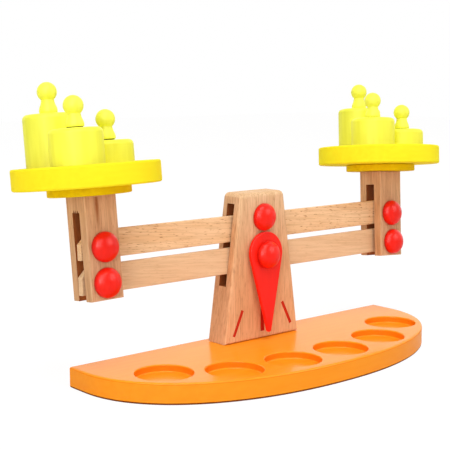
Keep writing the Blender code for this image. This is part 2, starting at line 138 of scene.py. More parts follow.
# Each lamp's place and size in metres, its power, and whether it shows in glossy surfaces alone
lamps = (
    ("overhead_softbox", (-0.3, -0.75, 2.1), 1.2, 22, False),
    ("left_softbox", (-1.4, -0.8, 0.55), 0.6, 6.2, False),
    ("right_softbox", (0.9, -1.2, 0.9), 0.8, 1.2, False),
    ("left_highlight", (-1.15, -0.95, 0.9), 1.6, 36, True),
    ("right_highlight", (0.8, -1.3, 0.85), 0.9, 11, True),
)

sides = {
    "left": {
        "sign": -1,
        "reach": 152,
        "offset": -0.1,
        "tilt": math.radians(0.6),
        "disc_offset": -0.6,
        "tray_yellow": ("#FFEA24", "#FFE621"),
        "tint_spot": upright_heart,
        "slot_end": (
            (-3.6, 0), (-2.6, 1.9), (-1.3, -0.6), (-0.2, 2.1), (0.9, -0.5), (2.4, 2.3), (3.3, 0),
        ),
        "weights": {
            "tall": (-17.4, 18.8, 47.3),
            "medium": (-21, -20, 34.9),
            "small": (18.4, 0.9, 25.6),
        },
    },
    "right": {
        "sign": 1,
        "reach": 153.2,
        "offset": 0.8,
        "tilt": math.radians(-3.6),
        "disc_offset": 0.3,
        # The right tray's copy of the lacquer is a touch lighter than the left's: painted light.
        "tray_yellow": ("#FFEF27", "#FFEA23"),
        "tint_spot": None,
        "slot_end": (),
        "weights": {
            "tall": (3.8, 27.9, 45.6),
            "medium": (-14.9, -5.6, 34.3),
            "small": (26.1, -3.6, 25.6),
        },
    },
}


def place_at(x, y, z, lean=0.0, tip=0.0):
    """A body's frame: its pivot, leaning back and then tipped sideways."""
    return Matrix.Translation((x, y, z)) @ Euler((-lean, tip, 0)).to_matrix().to_4x4()


def beam_place(shift, rise, height):
    """The frame of a beam, at its middle pivot."""
    return place_at(0, shift + rise * math.tan(beam_lean), height, beam_lean, rest_tip)


def moved(place, x=0.0, y=0.0, z=0.0):
    """A frame shifted along its own axes."""
    return place @ Matrix.Translation((x, y, z))


upper_pivot = beam_place(upper_beam_shift, upper_pivot_rise, upper_pivot_height)
lower_pivot = beam_place(lower_beam_shift, lower_pivot_rise, lower_pivot_height)
world_place = Matrix.Identity(4)


def upright_places(own):
    """The frame of an upright's two dowels, and the frame of its block and tray."""
    middle = upper_pivot_height - upper_pivot_rise + lower_pivot_height - lower_pivot_rise
    reach = own["sign"] * own["reach"]
    x = math.cos(rest_tip) * reach - math.sin(rest_tip) * end_pivot_drop
    z = upper_pivot_height - math.cos(rest_tip) * end_pivot_drop - math.sin(rest_tip) * reach
    pins = place_at(x, (z - middle / 2) * math.tan(upright_lean), z, upright_lean)
    body = moved(pins, own["sign"] * own["offset"]) @ Matrix.Rotation(-own["tilt"], 4, "Y")
    return pins, body


def arc(across, up, radius, start, end, steps):
    """Points of an arc from one angle to another, in degrees."""
    turns = [math.radians(start + (end - start) * i / steps) for i in range(steps + 1)]
    return [(across + radius * math.cos(t), up + radius * math.sin(t)) for t in turns]


def spun(bm, profile, steps, centre=(0, 0, 0), axis=(0, 0, 1)):
    """Spins a profile of (radius, height) points about an axis, and returns its edges."""
    centre = Vector(centre)
    axis = Vector(axis)
    out = Vector((1, 0, 0))
    verts = [bm.verts.new(centre + out * radius + axis * height) for radius, height in profile]
    edges = [bm.edges.new(pair) for pair in zip(verts, verts[1:])]
    before = set(bm.edges) - set(edges)
    bmesh.ops.spin(
        bm,
        geom=verts + edges,
        cent=centre,
        axis=axis,
        angle=FULL_TURN,
        steps=steps,
        use_merge=True,
    )
    bmesh.ops.remove_doubles(bm, verts=bm.verts, dist=gap / 100)
    return [edge for edge in bm.edges if edge not in before]


def ring(bm, points, y):
    """A closed loop of edges through (x, z) points, at depth y."""
    verts = [bm.verts.new((x, y, z)) for x, z in points]
    return [bm.edges.new(pair) for pair in zip(verts, verts[1:] + verts[:1])]


def open_rims(edges, y):
    """Those of the edges that lie at depth y and have a face on one side at most."""
    found = []
    for edge in edges:
        level = all(abs(vert.co.y - y) < gap / 10 for vert in edge.verts)
        if edge.is_valid and level and len(edge.link_faces) < 2:
            found.append(edge)
    return found


def pulled(bm, edges, to_y):
    """Extrudes a loop of edges to another depth, and returns the new loop."""
    made = bmesh.ops.extrude_edge_only(bm, edges=edges)["geom"]
    for item in made:
        if isinstance(item, bmesh.types.BMVert):
            item.co.y = to_y
    return [item for item in made if isinstance(item, bmesh.types.BMEdge)]


def rounded_cap(bm, edges, radius, steps=4):
    """Closes a loop with a face whose rim is rounded over, and returns the flat face."""
    face = bmesh.ops.contextual_create(bm, geom=edges)["faces"][0]
    face.normal_update()
    if face.normal.y * face.calc_center_median().y < 0:
        face.normal_flip()
    inset, rise = 0.0, 0.0
    for i in range(1, steps + 1):
        turn = RIGHT_ANGLE * i / steps
        further = radius * (1 - math.cos(turn))
        higher = radius * math.sin(turn)
        bmesh.ops.inset_region(
            bm, faces=[face], thickness=further - inset, depth=higher - rise, use_even_offset=True
        )
        inset, rise = further, higher
    return face


def opened(bm, face):
    """Takes out a flat face and returns its rim."""
    rim = list(face.edges)
    bmesh.ops.delete(bm, geom=[face], context="FACES_ONLY")
    return rim


def filled(bm, edges):
    """Fills the flat face that loops of edges enclose, and leaves its holes open."""
    bmesh.ops.triangle_fill(bm, edges=edges, use_beauty=True)


def slab(outline, depth, rounding, levels=()):
    """A board that stands on its outline, from -depth / 2 to depth / 2, its rims rounded over."""
    bm = bmesh.new()
    front = rounding - depth / 2
    first = ring(bm, outline, front)
    last = first
    for level in (*levels, -front):
        last = pulled(bm, last, level)
    return bm, rounded_cap(bm, first, rounding), rounded_cap(bm, last, rounding)


def drilled(bm, caps, depth, holes):
    """Cuts round holes of (x, z, radius) from cap to cap."""
    front, back = (opened(bm, cap) for cap in caps)
    for x, z, radius in holes:
        wall = spun(bm, [(radius, -depth / 2), (radius, depth / 2)], pin_steps, (x, 0, z), DEPTHWISE)
        front += open_rims(wall, -depth / 2)
        back += open_rims(wall, depth / 2)
    filled(bm, front)
    filled(bm, back)


def cleared(bm, wall, low, high):
    """Takes out a block's faces between the walls of its slot, from one level to another."""
    mouths = []
    for face in bm.faces:
        middle = face.calc_center_median()
        if abs(middle.y) < wall and low < middle.z < high:
            mouths.append(face)
    bmesh.ops.delete(bm, geom=mouths, context="FACES_ONLY")
    stray = [edge for edge in bm.edges if not edge.link_faces]
    bmesh.ops.delete(bm, geom=stray, context="EDGES")


def slot_corners(bm, wall, levels):
    """The corners of a slot's walls, each by right or left, back or front, and its level's name."""
    corners = {}
    for vert in bm.verts:
        x, y, z = vert.co
        for name, level in levels.items():
            if abs(abs(y) - wall) < gap / 10 and abs(z - level) < gap / 10:
                corners[(x > 0, y > 0, name)] = vert
    return corners


def wall_corners(corners, behind, low, high):
    """The four corners of one wall of a slot, in turn."""
    turn = ((False, low), (True, low), (True, high), (False, high))
    return [corners[(right, behind, name)] for right, name in turn]


def end_corners(corners, name):
    """The four corners of the slot's end at one level, in turn."""
    turn = ((False, False), (True, False), (True, True), (False, True))
    return [corners[(right, behind, name)] for right, behind in turn]


def mark_inside(bm, wall, low, high, index):
    """Gives the faces of a slot their own material: those between its walls and its ends."""
    for face in bm.faces:
        spots = [vert.co for vert in face.verts]
        between = all(abs(spot.y) < wall + gap / 10 for spot in spots)
        if between and all(low - gap < spot.z < high + gap for spot in spots):
            face.material_index = index


def mark_sides(bm, index):
    """Gives a block's left and right faces their own material, a darker tone of the wood: painted shade
    on the sides.
    """
    for face in bm.faces:
        face.normal_update()
        if abs(face.normal.x) > 0.9 and not face.material_index:
            face.material_index = index


def mark_highlit_rims(bm, depth, rounding, index):
    """Gives the rounded rims of a slab's two faces their own material, a paler tone: a painted highlight
    where the rounding catches the light.
    """
    for face in bm.faces:
        if depth / 2 - rounding < abs(face.calc_center_median().y) < depth / 2 - gap / 10:
            face.material_index = index


def finished(bm, name, place, body, nodes, slot, *materials):
    """Makes the mesh an object that rides on its body, in place, and stands for its CAD nodes."""
    bmesh.ops.remove_doubles(bm, verts=bm.verts, dist=gap / 100)
    bmesh.ops.recalc_face_normals(bm, faces=bm.faces)
    bmesh.ops.transform(bm, matrix=Matrix.Scale(MM, 4) @ place, verts=bm.verts)
    mesh = bpy.data.meshes.new(name)
    bm.to_mesh(mesh)
    bm.free()
    mesh.shade_smooth()
    mesh.set_sharp_from_angle(angle=crease_angle)
    piece = bpy.data.objects.new(name, mesh)
    bpy.context.scene.collection.objects.link(piece)
    for material in materials:
        mesh.materials.append(material)
    even = piece.modifiers.new("Even shading", "WEIGHTED_NORMAL")
    even.keep_sharp = True
    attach(piece, body)
    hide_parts(*nodes)


def linear(colour):
    """An sRGB hex colour as linear light."""
    channels = [int(colour[i : i + 2], 16) / 255 for i in (1, 3, 5)]
    light = [c / 12.92 if c <= 0.04045 else ((c + 0.055) / 1.055) ** 2.4 for c in channels]
    return (*light, 1)


def add(tree, kind, inputs=(), stops=(), **fields):
    """Adds a node, sets its fields and a ramp's stops, and sets or links its inputs."""
    made = tree.nodes.new("ShaderNode" + kind)
    for name, value in fields.items():
        setattr(made, name, value)
    for index, (at, colour) in enumerate(stops):
        made.color_ramp.elements[index].position = at
        made.color_ramp.elements[index].color = linear(colour)
    for socket, value in dict(inputs).items():
        if isinstance(value, bpy.types.NodeSocket):
            tree.links.new(value, made.inputs[socket])
        else:
            made.inputs[socket].default_value = value
    return made


def new_material(name, **sockets):
    """A material with its shader's constant sockets set."""
    material = bpy.data.materials.new(name)
    material.use_nodes = True
    shader = material.node_tree.nodes["Principled BSDF"]
    for socket, value in sockets.items():
        shader.inputs[socket.replace("_", " ")].default_value = value
    return material, material.node_tree, shader


def on_piece(tree, place):
    """Object coordinates turned into the piece's own frame."""
    here = add(tree, "TexCoord").outputs["Object"]
    at = place.to_translation() * MM
    turn = place.to_euler()
    return add(
        tree, "Mapping", {"Vector": here, "Location": at, "Rotation": turn}, vector_type="TEXTURE"
    ).outputs[0]


def cloudy(tree, here, grain, across, along, detail):
    """A soft pattern of cells of so many millimetres, which lie the long way with the grain."""
    cell = {"X": (along, across, across), "Z": (across, across, along)}[grain]
    cells = add(tree, "Mapping", {"Vector": here, "Scale": [1 / (MM * size) for size in cell]})
    inputs = {"Vector": cells.outputs[0], "Scale": 1.0, "Detail": detail}
    return add(tree, "TexNoise", inputs).outputs["Fac"]


def shaded(tree, tone, amount, pattern, stops):
    """Multiplies a tone by the colours that a pattern picks."""
    shade = add(tree, "ValToRGB", {"Fac": pattern}, stops).outputs["Color"]
    inputs = {MIX_FACTOR: amount, MIX_FIRST: tone, MIX_SECOND: shade}
    return add(tree, "Mix", inputs, data_type="RGBA", blend_type="MULTIPLY").outputs[MIX_RESULT]


def beech(name, place, grain, colours, flecks=0.3, figure=0.5, skew=0.0, tint_spot=None):
    """Bare sanded beech: warm tan with fine soft streaks and short dark flecks.

    A skew turns the grain in the face, and a tint spot darkens part of it: a streak of the wood's own
    figure on an upright, painted shade on the post.
    """
    light, dark = colours
    material, tree, shader = new_material(name, Roughness=0.6, Specular_IOR_Level=0.1)
    here = on_piece(tree, place)
    if skew:
        here = add(tree, "Mapping", {"Vector": here, "Rotation": (0, skew, 0)}).outputs[0]
    broad = cloudy(tree, here, grain, across=8, along=80, detail=2)
    tone = add(tree, "ValToRGB", {"Fac": broad}, [(0.32, dark), (0.68, light)]).outputs["Color"]
    fine = cloudy(tree, here, grain, across=1.1, along=22, detail=4)
    tone = shaded(tree, tone, figure, fine, [(0.34, "#DCCFC2"), (0.56, "#FFFFFF")])
    pores = cloudy(tree, here, grain, across=0.9, along=6, detail=2)
    tone = shaded(tree, tone, flecks, pores, [(0.6, "#FFFFFF"), (0.7, "#B98A63")])
    if tint_spot:
        tone = figure_and_shade_tint(tree, here, tone, *tint_spot)
    tree.links.new(tone, shader.inputs["Base Color"])
    relief = {"Height": fine, "Strength": 0.1, "Distance": 0.15 * MM}
    tree.links.new(add(tree, "Bump", relief).outputs[0], shader.inputs["Normal"])
    return material


def figure_and_shade_tint(tree, here, tone, across, up, wide, long, colour):
    """Tints a long soft spot of the board's face: on an upright as where the core of the trunk comes
    near it, on the post as painted shade that leaves the top lighter.
    """
    where = {
        "Vector": here,
        "Location": (across * MM, 0, up * MM),
        "Scale": (wide * MM, tint_spot_depth * MM, long * MM),
    }
    spot = add(tree, "Mapping", where, vector_type="TEXTURE").outputs[0]
    near = add(tree, "TexGradient", {"Vector": spot}, gradient_type="SPHERICAL").outputs["Fac"]
    return shaded(tree, tone, 1.0, near, [(0.0, "#FFFFFF"), (0.75, colour)])


def shaded_slot_beech(name, place):
    """Beech inside a slot, painted a dark reddish brown: painted shade, as little light gets in there.
    """
    return beech(name, place, "Z", ("#A8602F", "#8E4E27"), 0.4)


def lacquer(name, place, grain, colours, roughness, gloss, coat=0.0, rim=0.0):
    """Coloured lacquer or stain on wood: the grain shows through faintly.

    Over a rim of so many millimetres from the wall that the piece sits on, it is painted darker: painted
    shade.
    """
    light, dark = colours
    finish = {"Roughness": roughness, "Specular_IOR_Level": gloss}
    finish.update({"Coat_Weight": coat, "Coat_Roughness": 0.18, "Coat_IOR": 1.35})
    material, tree, shader = new_material(name, **finish)
    here = on_piece(tree, place)
    broad = cloudy(tree, here, grain, across=4, along=40, detail=4)
    tone = add(tree, "ValToRGB", {"Fac": broad}, [(0.35, dark), (0.65, light)]).outputs["Color"]
    # Painted shade: darker near the wall that the piece sits on.
    if rim:
        depth = add(tree, "SeparateXYZ", {0: here}).outputs["Y"]
        away = add(tree, "Math", {0: depth}, operation="ABSOLUTE").outputs[0]
        near = add(tree, "MapRange", {"Value": away, "From Max": rim * MM, "To Min": 1, "To Max": 0})
        inputs = {MIX_FACTOR: near.outputs[0], MIX_FIRST: tone, MIX_SECOND: linear("#C89C9C")}
        tone = add(tree, "Mix", inputs, data_type="RGBA", blend_type="MULTIPLY").outputs[MIX_RESULT]
    tree.links.new(tone, shader.inputs["Base Color"])
    fine = cloudy(tree, here, grain, across=0.9, along=14, detail=3)
    relief = {"Height": fine, "Strength": 0.08, "Distance": 0.1 * MM}
    tree.links.new(add(tree, "Bump", relief).outputs[0], shader.inputs["Normal"])
    return material


def orange_lacquer():
    """Thick orange lacquer, rubbed to a half gloss: seen at a low angle it mirrors the white room."""
    colours = ("#FF9B1C", "#FD9618")
    return lacquer("half_gloss_orange_lacquer", world_place, "X", colours, 0.5, 0.05, coat=0.4)


def recess_shade_orange():
    """The same lacquer on a recess wall, deeper orange and dull: painted shade in the recess."""
    return lacquer("recess_shade_orange_lacquer", world_place, "X", ("#FA8A10", "#F4840E"), 0.6, 0.05)


def foot_shadow_line():
    """The lacquer's foot painted dark brown where the board stands: painted shadow, a thin dark line on
    the floor.
    """
    return lacquer("foot_shadow_lacquer", world_place, "X", ("#8A4206", "#783806"), 0.7, 0.05)


def red_paint(name, place, rim=0.0):
    """Satin red paint on turned beech: saturated, with soft broad highlights."""
    return lacquer(name, place, "Z", ("#FC2312", "#F61E0E"), 0.28, 0.2, rim=rim)


def groove_red():
    """Red paint brushed into a sawn groove: darker and duller than on the turned pieces."""
    return lacquer("groove_red_paint", world_place, "Z", ("#D0321C", "#C02A16"), 0.7, 0.05)


def yellow_stain(name, place, colours):
    """Bright lemon stain on turned beech, half matt, with the grain just showing."""
    return lacquer("lemon_stain_" + name, place, "Z", colours, 0.5, 0.25)


def joint_shade_line(name):
    """Dark brown in the narrow joint under a knob: painted shade in the gap."""
    return lacquer("joint_shade_" + name, world_place, "Z", ("#4A3A12", "#3E300E"), 0.6, 0.1)


def tray_yellow(place, colours):
    """Warmer yellow lacquer on a turned tray, dull and even."""
    return lacquer("warm_yellow_lacquer", place, "X", colours, 0.6, 0.03)


def tray_hollow_shade_yellow(place):
    """The wall of the tray's hollow, in a darker yellow: painted shade inside the hollow."""
    return lacquer("hollow_shade_yellow_lacquer", place, "X", ("#C9AE18", "#BDA012"), 0.6, 0.03)


def disc_yellow(place):
    """Deep golden lacquer on the small disc."""
    return lacquer("golden_lacquer", place, "X", ("#F4D208", "#E8C206"), 0.6, 0.03)


def zinc_steel():
    """Zinc-plated steel: pale, bright and faintly mottled, with a fine spangle."""
    material, tree, shader = new_material("zinc_plated_steel", Metallic=1.0, Roughness=0.32)
    here = add(tree, "TexCoord").outputs["Object"]
    cells = {"Vector": here, "Scale": 1 / (MM * spangle_size)}
    spangle = add(tree, "TexVoronoi", cells).outputs["Distance"]
    tone = add(tree, "ValToRGB", {"Fac": spangle}, [(0.0, "#B4B8BD"), (1.0, "#CBCED2")])
    tree.links.new(tone.outputs["Color"], shader.inputs["Base Color"])
    return material


def base_outline():
    """Straight back, short straight sides, and a front that bows out like a flattened ellipse."""
    half, reach, steps = base_width / 2, base_depth - post_setback, 120
    power = 2 / base_front_power
    front = []
    for i in range(steps + 1):
        turn = math.pi * i / steps
        across = math.copysign(half * abs(math.cos(turn)) ** power, -math.cos(turn))
        front.append((across, -reach * math.sin(turn) ** power))
    return [(half, post_setback), (-half, post_setback)] + front


def sunk_recesses(bm, top):
    """Sinks the round recesses for the weights into the board, and returns their rims."""
    cup = arc(recess_radius + recess_ease, recess_ease, recess_ease, -90, -180, 4)
    floor = arc(recess_radius - recess_cove, recess_depth - recess_cove, recess_cove, 0, 90, 4)
    profile = cup + floor + [(0, recess_depth)]
    rims = []
    for across, from_back in recess_places:
        for sign in (-1, 1):
            spot = (sign * across, -top, post_setback - from_back)
            rims += open_rims(spun(bm, profile, disc_steps, spot, DEPTHWISE), -top)
    return rims


def sunk_screw_holes(bm, top):
    """Sinks the screws' holes into the underside, and returns their rims."""
    wide, narrow = screw_head_radius + gap + screw_sink, screw_radius + gap
    profile = [(wide, 0), (narrow, screw_head_height + screw_sink + gap)]
    profile += [(narrow, screw_hole_depth), (0, screw_hole_depth)]
    rims = []
    for sign in (-1, 1):
        spot = (sign * screw_spacing / 2, top, 0)
        rims += open_rims(spun(bm, profile, pin_steps, spot, (0, -1, 0)), top)
    return rims


def make_base():
    """The board lies down: its front face is turned up, and carries the recesses."""
    top = base_thickness / 2
    bm, upper, under = slab(base_outline(), base_thickness, base_ease)
    for face, sunk in ((upper, sunk_recesses), (under, sunk_screw_holes)):
        filled(bm, opened(bm, face) + sunk(bm, top))
    for face in bm.faces:
        level = face.calc_center_median().y
        # The lowest band of the board's rim is painted dark brown: a painted contact shadow.
        if top - foot_shadow_height < level < top - gap / 10:
            face.material_index = 1
        # The recess walls get a deeper orange: painted shade.
        elif recess_ease - top < level < recess_depth - recess_cove - top:
            face.material_index = 2
    lying = moved(world_place, 0, 0, top) @ Matrix.Rotation(-RIGHT_ANGLE, 4, "X")
    lacquers = (orange_lacquer(), foot_shadow_line(), recess_shade_orange())
    finished(bm, "base_board", lying, "base", ["base_plate"], "orange_lacquer", *lacquers)


def make_screws():
    """Two countersunk screws that hold the post from below."""
    head_top, end = screw_sink + screw_head_height, screw_sink + screw_length
    profile = [(0, end), (screw_radius / 2, end), (screw_radius, end - screw_radius)]
    profile += [(screw_radius, head_top), (screw_head_radius, screw_sink), (0, screw_sink)]
    steel = zinc_steel()
    for side, own in sides.items():
        bm = bmesh.new()
        spun(bm, profile, pin_steps)
        place = moved(world_place, own["sign"] * screw_spacing / 2)
        node = f"base_screw_{side}"
        finished(bm, node + "_turned", place, "base", [node], "zinc_steel", steel)


def post_corner_place():
    """The middle of the post's rounded top right corner, and how steeply its sides lean."""
    slope = math.atan2((post_bottom_width - post_top_width) / 2, post_top - post_foot)
    inset = post_corner * (1 - math.sin(slope)) / math.cos(slope)
    return post_top_width / 2 - inset, post_top - post_corner, slope


def post_outline():
    """A tapered board with rounded top corners, split where the mortise opens."""
    across, up, slope = post_corner_place()
    foot = post_bottom_width / 2
    right = [(foot, post_foot)]
    for level in (mortise_bottom, mortise_top):
        right.append((foot - (level - post_foot) * math.tan(slope), level))
    right += arc(across, up, post_corner, math.degrees(slope), 90, 6)
    return right + [(-x, z) for x, z in reversed(right)]


def widened_rims(bm):
    """Rounds the post's rims over ever wider from the foot of the mortise up, and most at the top."""
    half = post_depth / 2
    across, up, _ = post_corner_place()
    for vert in bm.verts:
        x, y, z = vert.co
        sine = (abs(y) - half) / post_ease + 1
        if sine < -gap / 10 or z < mortise_bottom + gap:
            continue
        share = post_ease_growth * min((z - mortise_bottom) / (mortise_top - mortise_bottom), 1)
        inset = post_ease * (1 - math.sqrt(max(1 - sine * sine, 0)))
        inward = Vector((math.copysign(across, x) - x, 0, min(up - z, 0)))
        vert.co += inward.normalized() * inset * share
        vert.co.y -= math.copysign((half - abs(y)) * share, y)


def groove_outline(low, high, width):
    """A narrow rectangle from one point to another."""
    low, high = Vector(low), Vector(high)
    side = (high - low).normalized().orthogonal() * width / 2
    return [tuple(corner) for corner in (low - side, low + side, high + side, high - side)]


def sunk_grooves(bm, half):
    """Sinks the three painted grooves into the post's front, and returns their rims."""
    rims = []
    for low, high, width, depth in grooves:
        rim = ring(bm, groove_outline(low, high, width), -half)
        rims += rim
        floor = pulled(bm, rim, depth - half)
        painted = [face for edge in floor for face in edge.link_faces]
        painted += bmesh.ops.contextual_create(bm, geom=floor)["faces"]
        for face in painted:
            face.material_index = 1
    return rims


def make_post():
    """The post, with the mortise that both beams pass through and three painted grooves."""
    half, wall = post_depth / 2, mortise_width / 2
    bm, front, back = slab(post_outline(), post_depth, post_ease, (-wall, wall))
    widened_rims(bm)
    cleared(bm, wall, mortise_bottom, mortise_top)
    corners = slot_corners(bm, wall, {"low": mortise_bottom, "high": mortise_top})
    for name in ("low", "high"):
        bm.faces.new(end_corners(corners, name))
    outer = [opened(bm, front), opened(bm, back)]
    outer[0] += sunk_grooves(bm, half)
    for behind, sign in enumerate((-1, 1)):
        loop = wall_corners(corners, bool(behind), "low", "high")
        inner = []
        for pair in zip(loop, loop[1:] + loop[:1]):
            inner.append(bm.edges.get(pair) or bm.edges.new(pair))
        for height, play in ((upper_pivot_height, gap), (lower_pivot_height, pointer_dowel_play)):
            bore = dowel_radius + play
            profile = [(bore, sign * wall), (bore, sign * half)]
            edges = spun(bm, profile, pin_steps, (0, 0, height), DEPTHWISE)
            inner += open_rims(edges, sign * wall)
            outer[behind] += open_rims(edges, sign * half)
        filled(bm, inner)
        filled(bm, outer[behind])
    # The mortise's inside is painted dark reddish brown: painted shade.
    mark_inside(bm, wall, mortise_bottom, mortise_top, 2)
    # The side faces get a darker tone: painted shade.
    mark_sides(bm, 3)
    # One for each number that a face may carry, in turn
    woods = (
        # The post's tint spot is painted shade: darker over the middle and lower part of its faces, so
        # that the top reads lighter.
        beech("sanded_beech_post", world_place, "Z", post_front, 0.3, 0.7, tint_spot=post_painted_shade_spot),
        groove_red(),
        shaded_slot_beech("shaded_slot_beech_post", world_place),
        beech("side_beech_post", world_place, "Z", post_shaded_side, 0.3, 0.7, tint_spot=post_painted_shade_spot),
    )
    finished(bm, "tapered_post", world_place, "base", ["post"], "beech", *woods)


def beam_outline(rise, clip, hump):
    """A straight beam about its pivot, with its upper outer corners clipped."""
    end, top, bottom = beam_length / 2, beam_height / 2 - rise, -beam_height / 2 - rise
    outline = [(-end, bottom), (end, bottom), (end, top - clip), (end - clip, top)]
    if hump:
        radius = dowel_radius + swing_play + hump_wall
        start = math.degrees(math.asin(top / radius))
        outline += arc(0, 0, radius, start, 180 - start, 16)
    return outline + [(clip - end, top), (-end, top - clip)]


def make_beam(name, place, outline, plays, end_drop, colours, flecks, figure):
    """A strip with a hole for its middle pivot and one near each end, each with its play."""
    bm, front, back = slab(outline, beam_thickness, beam_ease)
    middle_play, end_play = plays
    holes = [(0, 0, dowel_radius + middle_play)]
    for own in sides.values():
        holes.append((own["sign"] * own["reach"], -end_drop, dowel_radius + end_play))
    drilled(bm, (front, back), beam_thickness, holes)
    wood = beech("flecked_beech_" + name, place, "X", colours, flecks, figure, beam_grain_skew)
    finished(bm, name + "_strip", place, name, [name], "flecked_beech", wood)


def make_beams():
    """The upper beam is boldly flecked. The lower one is plainer, and loose at its ends."""
    upper = beam_outline(upper_pivot_rise, upper_beam_clip, True)
    plays = (swing_play, swing_play)
    make_beam("upper_beam", upper_pivot, upper, plays, end_pivot_drop, upper_beam_wood, 0.9, 0.5)
    lower = beam_outline(lower_pivot_rise, lower_beam_clip, False)
    lower_end = lower_pivot_height - (upper_pivot_height - end_pivot_drop) + end_pivot_spacing
    plays = (gap, open_pivot_play)
    make_beam("lower_beam", lower_pivot, lower, plays, lower_end, lower_beam_wood, 0.2, 0.35)


def make_cap(node, place, body, outward):
    """A domed cap on a short straight rim, bored for its dowel. It faces out along Y."""
    hole, bored, steps = dowel_radius + gap, dowel_in_cap + gap, 14
    dome = [(0, cap_height)]
    for i in range(1, steps + 1):
        turn = RIGHT_ANGLE * i / steps
        dome.append((cap_radius * math.sin(turn), cap_rim + (cap_height - cap_rim) * math.cos(turn)))
    rim = [(cap_radius, cap_ease), (cap_radius - cap_ease, 0), (hole, 0), (hole, bored), (0, bored)]
    bm = bmesh.new()
    spun(bm, dome + rim, cap_steps, axis=(0, outward, 0))
    # The red is painted darker near the wall the cap sits on: painted shade.
    red = red_paint("satin_red_" + node, place, cap_rim * 3)
    finished(bm, node + "_dome", place, body, [node], "red_paint", red)


def make_capped_dowel(name, place, body, front, back):
    """A dowel along Y with a cap on each end."""
    start, end = -front - dowel_in_cap, back + dowel_in_cap
    profile = [(0, end), (dowel_radius - dowel_ease, end), (dowel_radius, end - dowel_ease)]
    profile += [(dowel_radius, start + dowel_ease), (dowel_radius - dowel_ease, start), (0, start)]
    bm = bmesh.new()
    spun(bm, profile, pin_steps, axis=DEPTHWISE)
    wood = beech("dowel_beech_" + name, place, "Z", dowel_wood)
    finished(bm, name + "_rod", place, body, [name + "_dowel"], "beech", wood)
    make_cap(name + "_front_cap", moved(place, 0, -front - gap), body, -1)
    make_cap(name + "_rear_cap", moved(place, 0, back + gap), body, 1)


def make_pointer():
    """A flat drop: a round head and a small round tip, joined by straight sides."""
    length = pointer_head_rise + pointer_tip_drop
    slope = math.degrees(math.asin((pointer_head_radius - pointer_tip_radius) / length))
    outline = arc(0, pointer_head_rise, pointer_head_radius, -slope, 180 + slope, 48)
    outline += arc(0, -pointer_tip_drop, pointer_tip_radius, 180 + slope, 360 - slope, 10)
    bm, front, back = slab(outline, pointer_thickness, pointer_ease)
    drilled(bm, (front, back), pointer_thickness, [(0, 0, dowel_radius + gap)])
    place = moved(lower_pivot, 0, -pointer_gap - pointer_thickness / 2)
    red = red_paint("satin_red_pointer", place)
    finished(bm, "pointer_drop", place, "lower_beam", ["pointer"], "red_paint", red)


def ragged_end(bm, corners, points):
    """Cuts the end of the slot ragged, through (y, z) points between its walls."""
    rows = []
    for right in (False, True):
        low = [corners[(right, behind, "slot")] for behind in (False, True)]
        high = [corners[(right, behind, "top")] for behind in (False, True)]
        face = next(face for face in low[0].link_faces if set(low + high) <= set(face.verts))
        bmesh.ops.delete(bm, geom=[face], context="FACES")
        cut = [bm.verts.new((low[0].co.x, y, slot_top + z)) for y, z in points]
        row = [low[0], *cut, low[1]]
        bm.faces.new(row + [high[1], high[0]])
        rows.append(row)
    left, right = rows
    for i in range(len(left) - 1):
        bm.faces.new((left[i], left[i + 1], right[i + 1], right[i]))


def make_upright(side, own, body_place):
    """A block with a slot from end to end, open below."""
    wall, out, down = slot_width / 2, upright_width / 2, -upright_bottom
    right = [(out, down), (out, slot_top), (out, upright_top)]
    outline = [(-out, down), *right, (-out, upright_top), (-out, slot_top)]
    bm, _, _ = slab(outline, upright_depth, upright_ease, (-wall, wall))
    cleared(bm, wall, down - gap, slot_top)
    corners = slot_corners(bm, wall, {"foot": down, "slot": slot_top, "top": upright_top})
    for behind in (False, True):
        bm.faces.new(wall_corners(corners, behind, "foot", "slot"))
    ragged_end(bm, corners, own["slot_end"])
    # The slot's inside is painted dark reddish brown: painted shade.
    mark_inside(bm, wall, down, slot_top + slot_end_reach, 1)
    # The rounded rims get a paler tone: a painted highlight.
    mark_highlit_rims(bm, upright_depth, upright_ease, 2)
    # The side faces get a darker tone: painted shade.
    mark_sides(bm, 3)
    name = f"beech_{side}_upright"
    # One for each number that a face may carry, in turn
    woods = (
        beech("sanded_" + name, body_place, "Z", upright_front, 0.3, 0.65, tint_spot=own["tint_spot"]),
        shaded_slot_beech("shaded_slot_" + name, body_place),
        beech("edge_" + name, body_place, "Z", upright_edge_highlight, 0.2, 0.5),
        beech("side_" + name, body_place, "Z", upright_shaded_side, 0.3, 0.65),
    )
    finished(bm, side + "_block", body_place, side + "_upright", [side + "_upright"], "beech", *woods)


def make_peg(side, body_place):
    """The peg that holds the disc and the tray on an upright."""
    bottom = upright_top - peg_in_upright + gap
    top = upright_top + disc_thickness + peg_in_tray - gap
    bm = bmesh.new()
    spun(bm, [(0, top), (peg_radius, top), (peg_radius, bottom), (0, bottom)], pin_steps)
    wood = beech(f"peg_beech_{side}", body_place, "Z", dowel_wood)
    finished(bm, side + "_peg_rod", body_place, side + "_upright", [side + "_tray_peg"], "beech", wood)


def make_disc(side, own, body_place):
    """The small disc between an upright and its tray."""
    top, flat = disc_thickness - gap, disc_radius - disc_ease
    profile = [(0, top)] + arc(flat, top - disc_ease, disc_ease, 90, 0, 4)
    profile += arc(flat, disc_ease, disc_ease, 0, -90, 4) + [(0, 0)]
    bm = bmesh.new()
    spun(bm, profile, disc_steps)
    place = moved(body_place, own["disc_offset"], 0, upright_top + gap)
    name, body = side + "_tray_disc", side + "_upright"
    finished(bm, side + "_small_disc", place, body, [name], "disc_yellow", disc_yellow(place))


